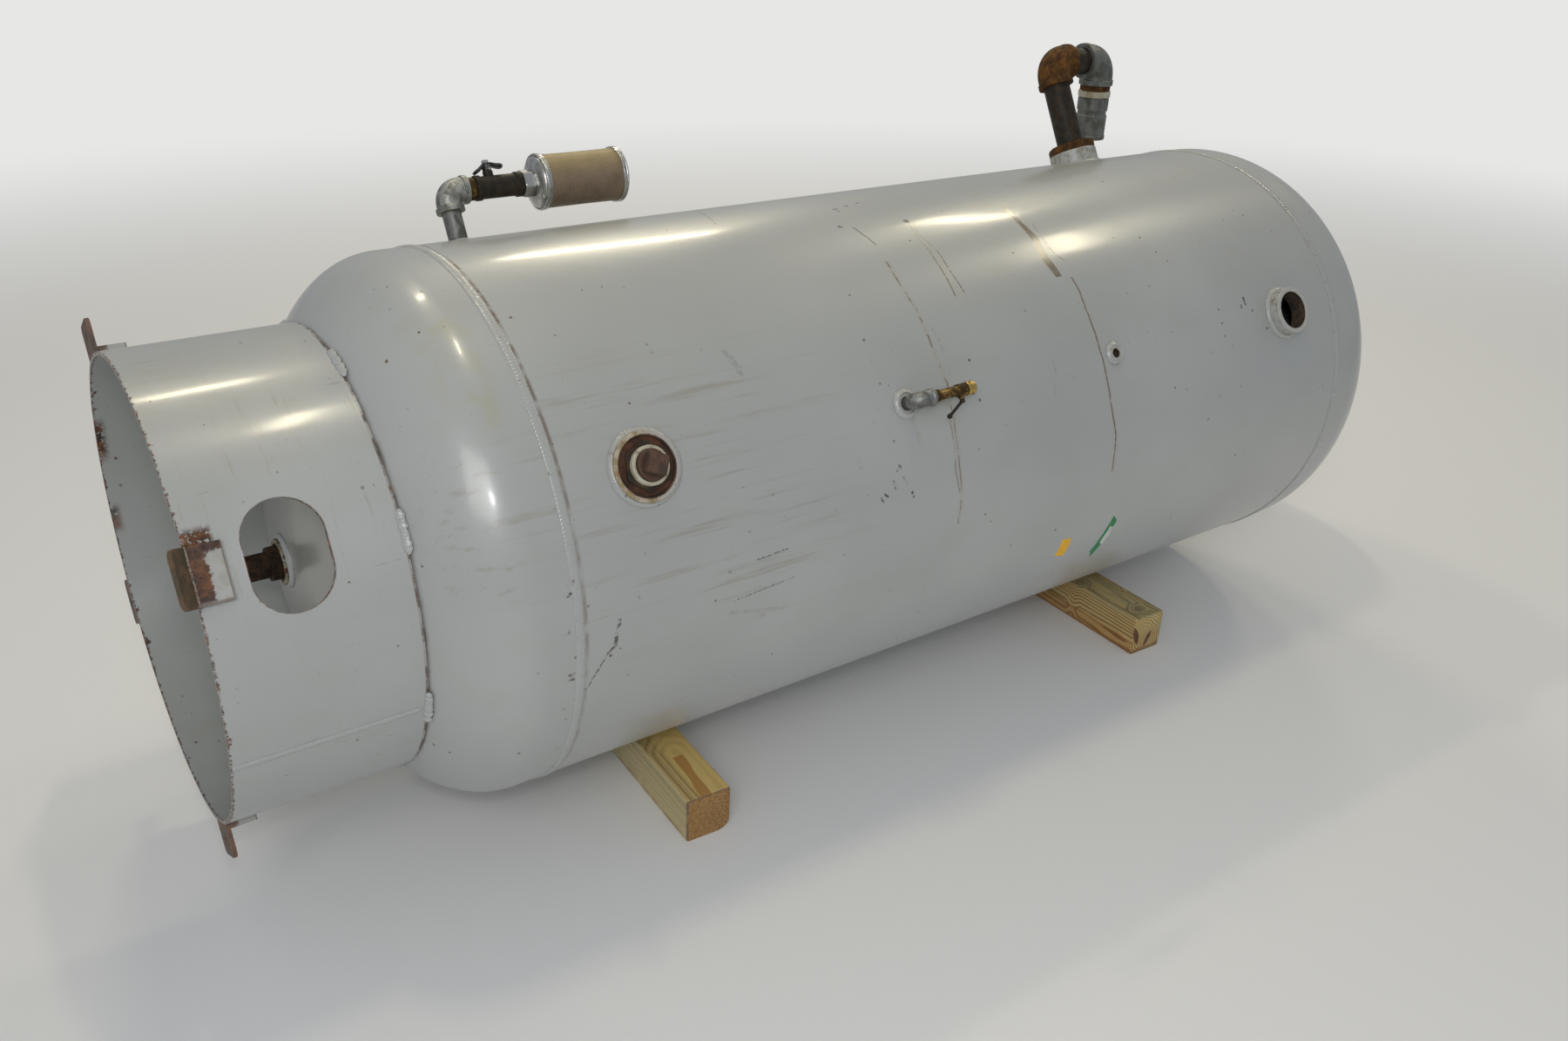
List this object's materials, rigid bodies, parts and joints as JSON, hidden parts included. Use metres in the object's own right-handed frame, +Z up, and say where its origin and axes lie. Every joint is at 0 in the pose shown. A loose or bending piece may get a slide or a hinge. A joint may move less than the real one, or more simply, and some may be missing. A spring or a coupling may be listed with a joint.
{
  "type": "horizontal pressure tank",
  "caption": "Dished-end compressed air receiver with a base skirt, lying on two timber bearers, with screwed ports, drain cock, intake filter line and relief riser.",
  "frame": {"origin": "on the floor, at the middle of the left timber's underside", "axes": "+X along the tank from the base skirt to the top head, -Y towards the side with the plugged port and the open outlet, +Z up"},
  "size_m": [2.6158, 0.9194, 1.2046],
  "materials": {
    "tank_paint": "satin light grey paint, dusty, rust at the edges",
    "rusty_iron": "rusted",
    "dark_iron": "dark mill scale and light rust",
    "galvanised": "dull galvanised, mottled",
    "brass": "tarnished",
    "primed_iron": "cream sealant and primer over iron",
    "black_handle": "black dipped steel",
    "zinc_steel": "bright zinc plate",
    "filter_mesh": "tan woven wire over an element",
    "pine": "rough sawn, weathered"
  },
  "bodies": {
    "tank": {"shell": "tank_paint", "shell_long_seam": "tank_paint", "head_bottom": "tank_paint", "head_top": "tank_paint", "girth_weld_bottom": "tank_paint", "girth_weld_top": "tank_paint", "base_skirt": "tank_paint", "skirt_seam_weld": "tank_paint", "skirt_stitch_welds": "tank_paint", "foot_clip_front": "rusty_iron", "foot_clip_lower": "tank_paint", "foot_clip_back": "tank_paint", "foot_clip_top": "tank_paint", "drain_coupling": "rusty_iron", "drain_bushing": "dark_iron", "drain_nipple": "dark_iron", "port_welds": "tank_paint", "plug_coupling": "tank_paint", "plug_outer_bushing": "rusty_iron", "plug_inner_bushing": "primed_iron", "pipe_plug": "rusty_iron", "cock_coupling": "tank_paint", "cock_elbow": "galvanised", "cock_body": "brass", "cock_end": "brass", "gauge_coupling": "tank_paint", "outlet_coupling": "tank_paint", "inlet_coupling": "tank_paint", "inlet_nipple": "galvanised", "inlet_elbow": "galvanised", "inlet_brass_nipple": "brass", "inlet_valve_body": "dark_iron", "filter_hub": "zinc_steel", "filter_cap": "zinc_steel", "filter_element": "filter_mesh", "filter_end_ring": "zinc_steel", "riser_coupling": "tank_paint", "riser_bushing": "rusty_iron", "riser_pipe": "dark_iron", "riser_elbow": "rusty_iron", "cross_nipple": "dark_iron", "drop_elbow": "galvanised", "relief_collar": "primed_iron", "relief_body": "galvanised", "timber_left": "pine", "timber_right": "pine"},
    "cock_lever": {"cock_lever": "dark_iron"},
    "inlet_handle": {"inlet_valve_handle": "black_handle"}
  },
  "joints": [
    {"name": "cock_turn", "type": "hinge", "parent": "tank", "child": "cock_lever", "pos_m": [0.43, -0.43136, 0.78551], "axis": [0, 0.4848, 0.8746], "range_deg": [0, 90]},
    {"name": "handle_turn", "type": "hinge", "parent": "tank", "child": "inlet_handle", "pos_m": [-0.0825, 0.26868, 1.03111], "axis": [0, 0.4848, 0.8746], "range_deg": [0, 90]}
  ]
}
